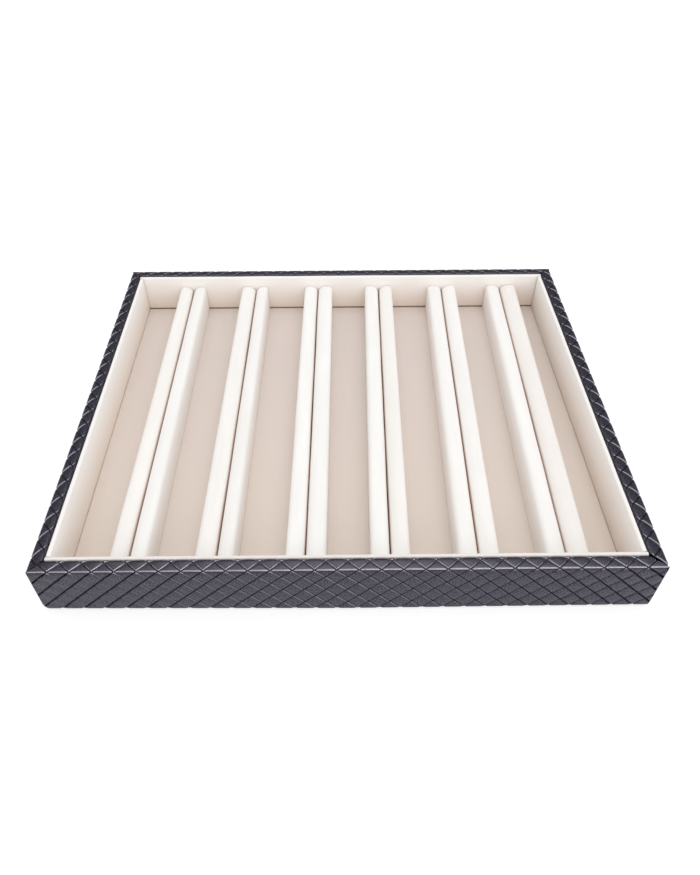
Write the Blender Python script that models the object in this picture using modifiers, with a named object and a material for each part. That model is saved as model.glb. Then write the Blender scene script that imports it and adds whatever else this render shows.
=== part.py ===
# Jewellery tray with six pairs of velvet ring rolls.
#
# A shallow open tray: four boards rebated round a base board, one strip of diamond-embossed
# leatherette folded over them, velvet linings, a velvet floor pad and twelve foam rolls
# covered in velvet. Metres, +Z up. The origin is the middle of the underside, X runs along
# the front from left to right, and Y runs from the front to the back.

from math import cos, radians, sin, sqrt

import bmesh
import bpy
from mathutils import Matrix, Vector
from numpy import interp

# Overall size
TRAY_WIDTH = 0.300
TRAY_DEPTH = 0.250
TRAY_HEIGHT = 0.033

# Clearances: the glue line is the gap left between any two glued layers
GLUE_LINE = 0.0003
PAD_CLEARANCE = 0.0005
CUT_OVERRUN = 0.002
SCORE_TOLERANCE = 0.0000001

# Boards
WALL_BOARD = 0.0043
BASE_BOARD = 0.0025
REBATE_DEPTH = 0.0022
BOARD_EASE = 0.0004

# Leatherette: the backing carries raised tiles, and the grooves between them reach the backing
BACKING = 0.0005
TILE_HEIGHT = 0.0005
TILE_DIAGONAL = 0.0104
FIRST_CROSSING = 0.01005
GROOVE_HALF = 0.0004
TILE_ROOM_FACTOR = 1.8
UPRIGHT = 0.9
HEM_INSIDE = 0.012
HEM_UNDER = 0.014
MITRE_SLIT = 0.0004
CORNER_RADIUS = 0.0025

# Underside felt
FELT_THICKNESS = 0.0008
FELT_MARGIN = 0.004
FELT_CORNER_RADIUS = 0.005
FELT_CORNER_STEPS = 4

# Wall linings and floor pad
LINING_CARD = 0.0008
LINING_VELVET = 0.0004
LINING_TURN = 0.008
LINING_EDGE_RADIUS = 0.0005
LINING_DROP = 0.0002
FLOOR_CARD = 0.0010
FLOOR_VELVET = 0.0005

# Ring rolls: the slot shoulder is the wide curve that leads a ring into the slot
ROLL_WIDTH = 0.0092
ROLL_HEIGHT = 0.0189
ROLL_SLOT = 0.0009
ROLL_VELVET = 0.0006
SLOT_SHOULDER_RADIUS = 0.0050
CHANNEL_SHOULDER_RADIUS = 0.0026
SHOULDER_STEPS = 5
EDGE_STEPS = 3

# The rolls are laid by hand, so each pair has its own place, lean and widths. Shares, from the
# left: slot place across the inside, lean of the far end by the length, left and right width.
LAID_PAIR_SHARES = (
    (0.1227, 0.0030, 0.93, 0.94),
    (0.2786, 0.0130, 1.05, 0.88),
    (0.4349, 0.0170, 0.98, 1.06),
    (0.5867, 0.0245, 1.00, 0.99),
    (0.7440, 0.0335, 1.04, 1.02),
    (0.8949, 0.0295, 1.05, 1.14),
)

# Heights of the layers, from the underside up
LEATHER = BACKING + TILE_HEIGHT
FACE_BOTTOM = FELT_THICKNESS + GLUE_LINE - TILE_HEIGHT
BOARD_BOTTOM = FACE_BOTTOM + LEATHER + GLUE_LINE
BOARD_TOP = TRAY_HEIGHT - LEATHER - GLUE_LINE
BASE_TOP = BOARD_BOTTOM + BASE_BOARD
FLOOR_CARD_BOTTOM = BASE_TOP + GLUE_LINE
FLOOR_CARD_TOP = FLOOR_CARD_BOTTOM + FLOOR_CARD
FLOOR_TOP = FLOOR_CARD_TOP + GLUE_LINE + FLOOR_VELVET
ROLL_BOTTOM = FLOOR_TOP + GLUE_LINE

# Insets from the outer face, from the outside in
BOARD_OUTER = LEATHER + GLUE_LINE
BOARD_INNER = BOARD_OUTER + WALL_BOARD
RIM_WIDTH = BOARD_INNER + GLUE_LINE + LEATHER
LINING_OUTER = RIM_WIDTH + GLUE_LINE
LINING_THICKNESS = LINING_CARD + 2 * (GLUE_LINE + LINING_VELVET)
LINING_INNER = LINING_OUTER + LINING_THICKNESS

# Colours as the photograph shows them, linear RGB
COLOURS = {
    "leatherette": (0.085, 0.082, 0.100),
    "cream_velvet": (0.930, 0.890, 0.840),
    "floor_velvet": (0.680, 0.590, 0.520),
    "felt": (0.050, 0.050, 0.055),
    "board": (0.420, 0.300, 0.190),
    "card": (0.640, 0.600, 0.530),
    "foam": (0.880, 0.860, 0.760),
}
ROUGHNESS = {"leatherette": 0.42, "board": 0.8, "card": 0.85}
SOFT_ROUGHNESS = 0.95


def clear_scene():
    for obj in list(bpy.data.objects):
        bpy.data.objects.remove(obj, do_unlink=True)


def new_collection(name):
    collection = bpy.data.collections.new(name)
    bpy.context.scene.collection.children.link(collection)
    return collection


def material(name):
    """One Principled material for each kind of stuff, made the first time it is asked for."""
    found = bpy.data.materials.get(name)
    if found:
        return found
    made = bpy.data.materials.new(name)
    made.use_nodes = True
    shader = made.node_tree.nodes["Principled BSDF"]
    shader.inputs["Base Color"].default_value = (*COLOURS[name], 1)
    shader.inputs["Roughness"].default_value = ROUGHNESS.get(name, SOFT_ROUGHNESS)
    shader.inputs["Metallic"].default_value = 0
    return made


def add_mesh(name, bm, stuff, collection, parent=None, location=(0, 0, 0)):
    """Turns a bmesh into a named object of the given stuff."""
    mesh = bpy.data.meshes.new(name)
    bm.to_mesh(mesh)
    bm.free()
    obj = bpy.data.objects.new(name, mesh)
    obj.data.materials.append(material(stuff))
    obj.location = location
    obj.parent = parent
    collection.objects.link(obj)
    return obj


def box_mesh(low, high):
    """A box between two corners."""
    low = Vector(low)
    high = Vector(high)
    bm = bmesh.new()
    bmesh.ops.create_cube(bm, size=1)
    bmesh.ops.scale(bm, vec=high - low, verts=bm.verts)
    bmesh.ops.translate(bm, vec=(low + high) / 2, verts=bm.verts)
    return bm


def ease_edges(obj, width, segments=1):
    bevel = obj.modifiers.new("eased edges", "BEVEL")
    bevel.width = width
    bevel.segments = segments
    bevel.limit_method = "ANGLE"


def cut_with(obj, cutter):
    cut = obj.modifiers.new("cut", "BOOLEAN")
    cut.operation = "DIFFERENCE"
    cut.object = cutter
    cutter.hide_render = True
    cutter.display_type = "WIRE"


# Boards


def base_half_size():
    """Half the base board's width and depth: it reaches into the rebates of the four walls."""
    reach = BOARD_INNER - REBATE_DEPTH + GLUE_LINE
    return TRAY_WIDTH / 2 - reach, TRAY_DEPTH / 2 - reach


def build_base_board(pieces):
    half_x, half_y = base_half_size()
    bm = box_mesh((-half_x, -half_y, BOARD_BOTTOM), (half_x, half_y, BASE_TOP))
    ease_edges(add_mesh("base_board", bm, "board", pieces), BOARD_EASE)


def build_rebate_cutter(cutters):
    """The room that the base board takes at the foot of the walls."""
    half_x, half_y = base_half_size()
    half_x += GLUE_LINE
    half_y += GLUE_LINE
    low = (-half_x, -half_y, BOARD_BOTTOM - CUT_OVERRUN)
    bm = box_mesh(low, (half_x, half_y, BASE_TOP + GLUE_LINE))
    return add_mesh("rebate_cutter", bm, "board", cutters)


def build_wall_boards(pieces, rebate):
    """The front and back boards run from corner to corner, and the side boards butt between them."""
    outer_x = TRAY_WIDTH / 2 - BOARD_OUTER
    outer_y = TRAY_DEPTH / 2 - BOARD_OUTER
    inner_x = outer_x - WALL_BOARD
    inner_y = outer_y - WALL_BOARD
    butt_y = inner_y - GLUE_LINE
    spans = {
        "wall_board_front": ((-outer_x, -outer_y), (outer_x, -inner_y)),
        "wall_board_back": ((-outer_x, inner_y), (outer_x, outer_y)),
        "wall_board_left": ((-outer_x, -butt_y), (-inner_x, butt_y)),
        "wall_board_right": ((inner_x, -butt_y), (outer_x, butt_y)),
    }
    for name, (low, high) in spans.items():
        bm = box_mesh((*low, BOARD_BOTTOM), (*high, BOARD_TOP))
        board = add_mesh(name, bm, "board", pieces)
        cut_with(board, rebate)
        ease_edges(board, BOARD_EASE)


# Leatherette wrap. It is cut flat as one strip, notched at the corners and then folded over
# the boards. Flat, U runs along the outer face from the front left corner round the tray, V
# runs across the strip from the under hem up the face to the rim and the inside hem, with 0
# on the top arris, and H is the height above the back of the strip.

FACE_HEIGHT = TRAY_HEIGHT - FACE_BOTTOM
STRIP_BOTTOM = -FACE_HEIGHT - HEM_UNDER
STRIP_TOP = RIM_WIDTH + HEM_INSIDE
SIDE_LENGTHS = (TRAY_WIDTH, TRAY_DEPTH, TRAY_WIDTH, TRAY_DEPTH)
STRIP_LENGTH = sum(SIDE_LENGTHS)
CORNERS_U = tuple(sum(SIDE_LENGTHS[:count]) for count in range(len(SIDE_LENGTHS) + 1))
CORNER_ROUND_SHARES = (-1, -0.5, 0, 0.5, 1)


def strip_top(bm):
    """The faces that look out of the flat strip, between the two hems."""
    faces = []
    for face in bm.faces:
        middle = face.calc_center_median()
        if middle.z > BACKING / 2 and -FACE_HEIGHT < middle.y < RIM_WIDTH and face.normal.z > 0:
            faces.append(face)
    return faces


def score(bm, place, across, faces=None):
    """Cuts an edge line through the given faces, or through the whole strip."""
    faces = bm.faces if faces is None else faces
    geometry = set(faces)
    for face in faces:
        geometry.update(face.edges, face.verts)
    bmesh.ops.bisect_plane(
        bm, geom=list(geometry), dist=SCORE_TOLERANCE, plane_co=(*place, 0), plane_no=(*across, 0)
    )


def flat_strip():
    """The strip as it is cut from the roll, its hems thin and its diamond tiles raised."""
    end = MITRE_SLIT / 2
    bm = box_mesh((end, STRIP_BOTTOM, 0), (STRIP_LENGTH - end, STRIP_TOP, BACKING))
    for v in (-FACE_HEIGHT, RIM_WIDTH):
        top = [face for face in bm.faces if face.normal.z > UPRIGHT]
        score(bm, (0, v), (0, 1), top)
    crossings = int(STRIP_LENGTH / TILE_DIAGONAL) + 1
    spare = int((FACE_HEIGHT + RIM_WIDTH) / TILE_DIAGONAL) + 1
    for count in range(-spare, crossings + spare):
        crossing = (FIRST_CROSSING + count * TILE_DIAGONAL, 0)
        for slope in (-1, 1):
            score(bm, crossing, (1, slope), strip_top(bm))
    tiles = [face for face in strip_top(bm) if tile_room(face) > GROOVE_HALF * TILE_ROOM_FACTOR]
    bmesh.ops.inset_individual(bm, faces=tiles, thickness=GROOVE_HALF, depth=TILE_HEIGHT, use_even_offset=True)
    return bm


def tile_room(face):
    """Roughly the radius of the largest circle that fits in a flat cell."""
    return 2 * face.calc_area() / face.calc_perimeter()


def prism(bm, outline, low, high):
    """Adds a flat outline, given counterclockwise, as a closed prism."""
    verts = [bm.verts.new((u, v, low)) for u, v in outline]
    floor = bm.faces.new(verts)
    raised = bmesh.ops.extrude_face_region(bm, geom=[floor])
    tops = [item for item in raised["geom"] if isinstance(item, bmesh.types.BMVert)]
    bmesh.ops.translate(bm, vec=(0, 0, high - low), verts=tops)


def notch_cutter():
    """The mitred notches of all the corners: the flaps left between them meet on the mitre."""
    slit = MITRE_SLIT / 2
    above = STRIP_TOP + CUT_OVERRUN
    under = HEM_UNDER + CUT_OVERRUN
    low = -CUT_OVERRUN
    high = LEATHER + CUT_OVERRUN
    bm = bmesh.new()
    for corner in CORNERS_U:
        rim = slit + RIM_WIDTH
        outline = [(-slit, 0), (slit, 0), (rim, RIM_WIDTH), (rim, above), (-rim, above), (-rim, RIM_WIDTH)]
        prism(bm, [(corner + u, v) for u, v in outline], low, high)
        hem = slit + under
        outline = [(-hem, -under), (hem, -under), (slit, 0), (-slit, 0)]
        prism(bm, [(corner + u, v - FACE_HEIGHT) for u, v in outline], low, high)
    bmesh.ops.recalc_face_normals(bm, faces=bm.faces)
    return bm


def notched(strip, cutters):
    """Cuts the notches while the strip is flat, and gives the result back as a bmesh."""
    flat = add_mesh("flat_strip", strip, "leatherette", cutters)
    cutter = add_mesh("notch_cutter", notch_cutter(), "leatherette", cutters)
    cut_with(flat, cutter)
    bpy.context.view_layer.update()
    depsgraph = bpy.context.evaluated_depsgraph_get()
    mesh = bpy.data.meshes.new_from_object(flat.evaluated_get(depsgraph))
    bm = bmesh.new()
    bm.from_mesh(mesh)
    bpy.data.meshes.remove(mesh)
    for obj in (flat, cutter):
        bpy.data.objects.remove(obj, do_unlink=True)
    return bm


def score_folds(bm):
    """Marks the folds, and the rounds of the upright corners."""
    for v in (-FACE_HEIGHT, 0, RIM_WIDTH):
        score(bm, (0, v), (0, 1))
    for corner in CORNERS_U:
        for share in CORNER_ROUND_SHARES:
            score(bm, (corner + share * CORNER_RADIUS, 0), (1, 0))


def softened(a, b, radius):
    """Moves a point near a sharp edge onto a round one.

    A and B are how far the point lies past the start of the round, toward each face.
    """
    if a <= 0 or b <= 0:
        return a, b
    return a * sqrt(1 - (b / radius) ** 2 / 2), b * sqrt(1 - (a / radius) ** 2 / 2)


def folded_section(v, h):
    """Where a point across the strip lies once folded: its inset from the outer face, and Z."""
    deep = LEATHER - h
    stations = (STRIP_BOTTOM, -FACE_HEIGHT, 0, RIM_WIDTH, STRIP_TOP)
    insets = (HEM_UNDER, deep, deep, RIM_WIDTH - deep, RIM_WIDTH - deep)
    foot = FACE_BOTTOM + deep
    top = TRAY_HEIGHT - deep
    heights = (foot, foot, top, top, TRAY_HEIGHT - HEM_INSIDE)
    return float(interp(v, stations, insets)), float(interp(v, stations, heights))


def folded(point):
    """Where a point of the flat strip lies on the finished tray."""
    u, v, h = point
    inset, z = folded_section(v, h)
    side = max(index for index in range(len(SIDE_LENGTHS)) if CORNERS_U[index] <= u or index == 0)
    length = SIDE_LENGTHS[side]
    notch = min(v, RIM_WIDTH) if v > 0 else max(0, -FACE_HEIGHT - v)
    share = (u - CORNERS_U[side] - notch) / (length - 2 * notch)
    along = (share - 0.5) * (length - 2 * inset)
    outward = SIDE_LENGTHS[side - 1] / 2 - inset
    x, y = ((along, -outward), (outward, along), (-along, outward), (-outward, -along))[side]
    past_x = CORNER_RADIUS - (TRAY_WIDTH / 2 - abs(x))
    past_y = CORNER_RADIUS - (TRAY_DEPTH / 2 - abs(y))
    past_x, past_y = softened(past_x, past_y, CORNER_RADIUS)
    x = (TRAY_WIDTH / 2 - CORNER_RADIUS + past_x) * (1 if x > 0 else -1)
    y = (TRAY_DEPTH / 2 - CORNER_RADIUS + past_y) * (1 if y > 0 else -1)
    return x, y, z


def build_wrap(pieces, cutters):
    bm = notched(flat_strip(), cutters)
    score_folds(bm)
    for vert in bm.verts:
        vert.co = folded(vert.co)
    add_mesh("leatherette_wrap", bm, "leatherette", pieces)


# Underside felt


def build_felt(pieces):
    half_x = TRAY_WIDTH / 2 - FELT_MARGIN
    half_y = TRAY_DEPTH / 2 - FELT_MARGIN
    bm = box_mesh((-half_x, -half_y, 0), (half_x, half_y, FELT_THICKNESS))
    upright = []
    for edge in bm.edges:
        low, high = sorted(vert.co.z for vert in edge.verts)
        if high - low > FELT_THICKNESS / 2:
            upright.append(edge)
    bmesh.ops.bevel(
        bm,
        geom=upright,
        offset=FELT_CORNER_RADIUS,
        segments=FELT_CORNER_STEPS,
        profile=0.5,
        affect="EDGES",
        material=-1,
    )
    add_mesh("underside_felt", bm, "felt", pieces)


# Velvet made from an open outline and given its thickness on the inner side


def swept_sheet(outline, low, high):
    """Sweeps an open outline in X and Z along Y, as one thin surface.

    The outline runs clockwise as seen from the front, so that the surface faces outward.
    """
    bm = bmesh.new()
    verts = [bm.verts.new((x, low, z)) for x, z in outline]
    edges = [bm.edges.new(pair) for pair in zip(verts, verts[1:])]
    swept = bmesh.ops.extrude_edge_only(bm, edges=edges)
    moved = [item for item in swept["geom"] if isinstance(item, bmesh.types.BMVert)]
    bmesh.ops.translate(bm, vec=(0, high - low, 0), verts=moved)
    bmesh.ops.reverse_faces(bm, faces=bm.faces)
    return bm


def swept_solid(outline, low, high):
    """Sweeps a closed outline in X and Z along Y, as a solid bar."""
    bm = bmesh.new()
    end = bm.faces.new([bm.verts.new((x, low, z)) for x, z in outline])
    swept = bmesh.ops.extrude_face_region(bm, geom=[end])
    moved = [item for item in swept["geom"] if isinstance(item, bmesh.types.BMVert)]
    bmesh.ops.translate(bm, vec=(0, high - low, 0), verts=moved)
    bmesh.ops.recalc_face_normals(bm, faces=bm.faces)
    return bm


def thicken(obj, thickness):
    shell = obj.modifiers.new("thickness", "SOLIDIFY")
    shell.thickness = thickness
    shell.offset = -1
    shell.use_even_offset = True


def arc(centre, radius, start, end, steps):
    """Points on an arc in X and Z, with its angles in degrees from +X toward +Z."""
    points = []
    for step in range(steps + 1):
        angle = radians(start + (end - start) * step / steps)
        points.append((centre[0] + radius * cos(angle), centre[1] + radius * sin(angle)))
    return points


# Wall linings: a card with velvet glued over its face and turned over its top edge


def build_linings(pieces):
    """Each lining is modelled as the right one and then turned about the tray's middle."""
    long_half = TRAY_WIDTH / 2 - LINING_OUTER
    short_half = TRAY_DEPTH / 2 - LINING_INNER - GLUE_LINE
    walls = (
        ("right", 0, TRAY_WIDTH / 2, short_half),
        ("back", 90, TRAY_DEPTH / 2, long_half),
        ("left", 180, TRAY_WIDTH / 2, short_half),
        ("front", 270, TRAY_DEPTH / 2, long_half),
    )
    top = TRAY_HEIGHT - LINING_DROP
    bottom = BASE_TOP + GLUE_LINE
    radius = LINING_EDGE_RADIUS
    covered = LINING_VELVET + GLUE_LINE
    for wall, turn, outer, half in walls:
        inner_x = outer - LINING_INNER
        outer_x = outer - LINING_OUTER
        outline = [(inner_x, bottom)]
        outline += arc((inner_x + radius, top - radius), radius, 180, 90, EDGE_STEPS)
        outline += arc((outer_x - radius, top - radius), radius, 90, 0, EDGE_STEPS)
        outline += [(outer_x, top - LINING_TURN)]
        velvet = swept_sheet(outline, -half, half)
        cover = add_mesh(f"lining_velvet_{wall}", velvet, "cream_velvet", pieces)
        thicken(cover, LINING_VELVET)
        low = (inner_x + covered, -half, bottom)
        card = box_mesh(low, (outer_x - covered, half, top - covered))
        core = add_mesh(f"lining_card_{wall}", card, "card", pieces)
        for obj in (cover, core):
            obj.rotation_euler.z = radians(turn)


# Floor pad: a card with velvet over it, its edges turned down


def build_floor(pieces):
    half_x = TRAY_WIDTH / 2 - LINING_INNER - PAD_CLEARANCE
    half_y = TRAY_DEPTH / 2 - LINING_INNER - PAD_CLEARANCE
    velvet = box_mesh((-half_x, -half_y, FLOOR_CARD_BOTTOM), (half_x, half_y, FLOOR_TOP))
    underside = min(velvet.faces, key=lambda face: face.calc_center_median().z)
    bmesh.ops.delete(velvet, geom=[underside], context="FACES_ONLY")
    thicken(add_mesh("floor_velvet", velvet, "floor_velvet", pieces), FLOOR_VELVET)
    half_x -= FLOOR_VELVET + GLUE_LINE
    half_y -= FLOOR_VELVET + GLUE_LINE
    card = box_mesh((-half_x, -half_y, FLOOR_CARD_BOTTOM), (half_x, half_y, FLOOR_CARD_TOP))
    add_mesh("floor_card", card, "card", pieces)


# Ring rolls


def roll_outline(width, inset, side):
    """The section of a roll, from the foot of its slot side over the top to its channel side."""
    slot_radius = SLOT_SHOULDER_RADIUS - inset
    channel_radius = CHANNEL_SHOULDER_RADIUS - inset
    near = ROLL_SLOT / 2 + inset
    far = ROLL_SLOT / 2 + width - inset
    top = ROLL_HEIGHT - inset
    points = [(near, 0)]
    points += arc((near + slot_radius, top - slot_radius), slot_radius, 180, 90, SHOULDER_STEPS)
    points += arc((far - channel_radius, top - channel_radius), channel_radius, 90, 0, SHOULDER_STEPS)
    points += [(far, 0)]
    if side == "left":
        points = [(-x, z) for x, z in reversed(points)]
    return points


def lean_over(bm, lean):
    """Leans a roll in plan, with its ends still square to the tray."""
    shear = Matrix.Identity(4)
    shear[0][1] = lean
    bmesh.ops.transform(bm, matrix=shear, verts=bm.verts)


def build_rolls(pieces):
    inside_width = TRAY_WIDTH - 2 * LINING_INNER
    half_length = TRAY_DEPTH / 2 - LINING_INNER - GLUE_LINE
    for number, (place, lean, left_width, right_width) in enumerate(LAID_PAIR_SHARES, start=1):
        pair = bpy.data.objects.new(f"pair_{number}_slot", None)
        pair.location = ((place - 0.5) * inside_width, 0, ROLL_BOTTOM)
        pieces.objects.link(pair)
        for side, width_share in (("left", left_width), ("right", right_width)):
            width = ROLL_WIDTH * width_share
            velvet = swept_sheet(roll_outline(width, 0, side), -half_length, half_length)
            core = roll_outline(width, ROLL_VELVET + GLUE_LINE, side)
            foam = swept_solid(core, -half_length, half_length)
            lean_over(velvet, lean)
            lean_over(foam, lean)
            name = f"{number}_{side}"
            cover = add_mesh(f"ring_roll_velvet_{name}", velvet, "cream_velvet", pieces, pair)
            thicken(cover, ROLL_VELVET)
            add_mesh(f"ring_roll_foam_{name}", foam, "foam", pieces, pair)


def build_tray():
    clear_scene()
    pieces = new_collection("jewellery_tray")
    cutters = new_collection("cutters")
    build_base_board(pieces)
    build_wall_boards(pieces, build_rebate_cutter(cutters))
    build_wrap(pieces, cutters)
    build_felt(pieces)
    build_linings(pieces)
    build_floor(pieces)
    build_rolls(pieces)


build_tray()
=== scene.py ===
# %% [markdown]
# # A jewellery tray: embossed leatherette outside, cream velvet inside
#
# The tray is a shallow open box. One long strip of dark leatherette, embossed with diamonds,
# is folded over its four boards. Inside lie four velvet linings, a velvet floor pad and twelve
# foam rolls covered in velvet, glued in pairs so that a ring can be pushed in between two.
#
# The solids with the real sizes are already made. This notebook loads them as a fixed frame
# and dresses them: it never moves them, and takes its sizes from them where it can.

from math import cos, pi, radians, sin, sqrt

import bmesh
import bpy
import numpy as np
from mathutils import Matrix, Vector, noise


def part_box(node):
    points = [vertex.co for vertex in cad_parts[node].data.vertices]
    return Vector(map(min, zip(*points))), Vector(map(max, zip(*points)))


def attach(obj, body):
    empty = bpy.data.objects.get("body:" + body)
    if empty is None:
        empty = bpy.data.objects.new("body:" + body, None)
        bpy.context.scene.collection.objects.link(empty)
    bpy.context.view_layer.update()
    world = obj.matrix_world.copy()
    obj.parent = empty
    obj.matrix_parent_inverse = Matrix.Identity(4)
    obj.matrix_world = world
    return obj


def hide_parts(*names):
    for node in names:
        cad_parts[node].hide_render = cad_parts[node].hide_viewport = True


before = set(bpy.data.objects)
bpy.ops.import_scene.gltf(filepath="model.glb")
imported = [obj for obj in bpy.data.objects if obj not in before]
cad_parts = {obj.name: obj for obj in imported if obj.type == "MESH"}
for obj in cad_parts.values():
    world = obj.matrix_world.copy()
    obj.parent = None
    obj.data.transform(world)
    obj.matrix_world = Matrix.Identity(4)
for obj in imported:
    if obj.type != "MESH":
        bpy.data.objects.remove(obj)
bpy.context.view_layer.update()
MM = 0.001
# Blender's noise starts from the clock, so a seed is set to make each run the same
noise.seed_set(1)

# %% [markdown]
# ## The camera
#
# A camera is matched to a photograph by fitting its place, its turn and its focal length to
# points whose real places are known, here the tray's corners and the edges of the rolls. A
# photo that was cropped has its optical centre off the middle of the picture. Blender calls
# that a shift, and counts it in shares of the picture's longer side.

# %% Place the camera
PHOTO_WIDTH = 700
PHOTO_HEIGHT = 875
FOCAL_PIXELS = 697.7
OPTICAL_CENTRE_PIXELS = (336.1, 399.8)
CAMERA_PLACE = (-0.00542, -0.30330, 0.31454)
CAMERA_DOWN = radians(43.91)
CAMERA_TURN = radians(-0.229)
CAMERA_ROLL = radians(-0.302)

camera_data = bpy.data.cameras.new("camera")
camera_data.sensor_width = 36
camera_data.lens = FOCAL_PIXELS * camera_data.sensor_width / PHOTO_HEIGHT
camera_data.shift_x = (PHOTO_WIDTH / 2 - OPTICAL_CENTRE_PIXELS[0]) / PHOTO_HEIGHT
camera_data.shift_y = (OPTICAL_CENTRE_PIXELS[1] - PHOTO_HEIGHT / 2) / PHOTO_HEIGHT
camera_data.clip_start = 0.01
camera = bpy.data.objects.new("camera", camera_data)
camera.matrix_world = (
    Matrix.Translation(CAMERA_PLACE)
    @ Matrix.Rotation(CAMERA_TURN, 4, "Z")
    @ Matrix.Rotation(pi / 2 - CAMERA_DOWN, 4, "X")
    @ Matrix.Rotation(CAMERA_ROLL, 4, "Z")
)
bpy.context.scene.collection.objects.link(camera)
bpy.context.scene.camera = camera
bpy.context.scene.view_settings.view_transform = "Standard"
print("camera lens", round(camera_data.lens, 2), "mm")

# %% [markdown]
# ## Small helpers for materials
#
# Every finish here is a Principled shader with some texture nodes in front of it. Short helpers
# start a material and add each kind of node with its links. A value that is the same all over
# is typed into the shader's own socket, and only what varies comes through a link.


# %% Helpers for materials
def new_material(name, **constants):
    """A material with its Principled shader's sockets set to the given constants."""
    material = bpy.data.materials.new(name)
    material.use_nodes = True
    shader = material.node_tree.nodes["Principled BSDF"]
    for socket, value in constants.items():
        shader.inputs[socket.replace("_", " ")].default_value = value
    return material, material.node_tree, shader


def add_node(tree, kind, settings=None, **values):
    """A shader node with its settings, and the values typed into its sockets."""
    node = tree.nodes.new("ShaderNode" + kind)
    for setting, value in (settings or {}).items():
        setattr(node, setting, value)
    for socket, value in values.items():
        node.inputs[socket.replace("_", " ")].default_value = value
    return node


def add_mapping(tree, source, scale):
    """Coordinates from a socket, stretched by a scale along each axis."""
    mapping = add_node(tree, "Mapping", Scale=scale)
    tree.links.new(source, mapping.inputs["Vector"])
    return mapping.outputs["Vector"]


def add_noise(tree, vector, scale, detail=3, roughness=0.55):
    """Noise over the given coordinates, from 0 to 1."""
    found = add_node(tree, "TexNoise", Scale=scale, Detail=detail, Roughness=roughness)
    tree.links.new(vector, found.inputs["Vector"])
    return found.outputs["Fac"]


def add_range(tree, value, low, high, to_low=0.0, to_high=1.0):
    """Spreads one range of a value over another."""
    spread = add_node(tree, "MapRange", From_Min=low, From_Max=high, To_Min=to_low, To_Max=to_high)
    tree.links.new(value, spread.inputs["Value"])
    return spread.outputs["Result"]


def add_mix(tree, share, first, second):
    """A colour between two colours, each typed in or taken from a socket."""
    mix = add_node(tree, "Mix", {"data_type": "RGBA"})
    for socket, value in ((mix.inputs["Factor"], share), (mix.inputs[6], first), (mix.inputs[7], second)):
        if isinstance(value, bpy.types.NodeSocket):
            tree.links.new(value, socket)
        else:
            socket.default_value = value
    return mix.outputs[2]


def add_sum(tree, first, second, second_share):
    """One height plus a share of another."""
    total = add_node(tree, "Math", {"operation": "MULTIPLY_ADD"})
    total.inputs[1].default_value = second_share
    tree.links.new(second, total.inputs[0])
    tree.links.new(first, total.inputs[2])
    return total.outputs["Value"]


def add_larger(tree, first, second):
    """The larger of two values."""
    larger = add_node(tree, "Math", {"operation": "MAXIMUM"})
    tree.links.new(first, larger.inputs[0])
    tree.links.new(second, larger.inputs[1])
    return larger.outputs["Value"]


def add_bump(tree, height, depth, shader):
    """Lets a height from 0 to 1 stand for real relief of the given depth in metres."""
    bump = add_node(tree, "Bump", Strength=1, Distance=depth)
    tree.links.new(height, bump.inputs["Height"])
    tree.links.new(bump.outputs["Normal"], shader.inputs["Normal"])


print("material helpers ready")


# %% [markdown]
# ## Helpers for pieces
#
# All shapes below are made in a bmesh at their final place, so each object stays at the
# origin. The first helper turns a bmesh into a piece: it smooths the faces, keeps edges sharper
# than an angle, rides the piece on the tray's body and hides the solids it stands for. The
# last cuts an edge line through a mesh, which is how every flat shape below gets its detail.


# %% Helpers for pieces
def make_piece(name, bm, material, replaced=(), sharp_degrees=40):
    """Turns a bmesh into a named piece of the tray."""
    mesh = bpy.data.meshes.new(name)
    bm.to_mesh(mesh)
    bm.free()
    mesh.shade_smooth()
    mesh.set_sharp_from_angle(angle=radians(sharp_degrees))
    mesh.materials.append(material)
    piece = bpy.data.objects.new(name, mesh)
    bpy.context.scene.collection.objects.link(piece)
    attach(piece, "root")
    if replaced:
        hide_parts(*replaced)
    triangles = sum(len(face.vertices) - 2 for face in mesh.polygons)
    print(name, len(mesh.vertices), "points,", triangles, "triangles")
    return piece


def add_box(bm, size, middle):
    """Adds a box of a size round its middle."""
    cube = bmesh.ops.create_cube(bm, size=1)["verts"]
    bmesh.ops.scale(bm, vec=size, verts=cube)
    bmesh.ops.translate(bm, vec=middle, verts=cube)


CUT_TOLERANCE = 1e-7


def cut_line(bm, place, across, faces=None):
    """Cuts an edge line through a mesh, or only through the given faces."""
    faces = bm.faces[:] if faces is None else faces
    geometry = set(faces)
    for face in faces:
        geometry.update(face.edges, face.verts)
    bmesh.ops.bisect_plane(
        bm, geom=list(geometry), dist=CUT_TOLERANCE, plane_co=place, plane_no=across
    )


print("piece helpers ready")

# %% [markdown]
# ## The leatherette wrap
#
# The real wrap is cut flat from an embossed roll, notched at the corners and folded over the
# boards. The same order works best here. A pattern is easy to draw on a flat strip and hard to
# draw round a box, and once folded its diamonds run on round the corners as the real ones do.
#
# On the flat strip, u runs along the outer face from the front left corner round the tray, v
# runs across from the hem underneath to the hem inside, with 0 on the top outer edge, and h
# is the height above the back of the leatherette.

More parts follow.
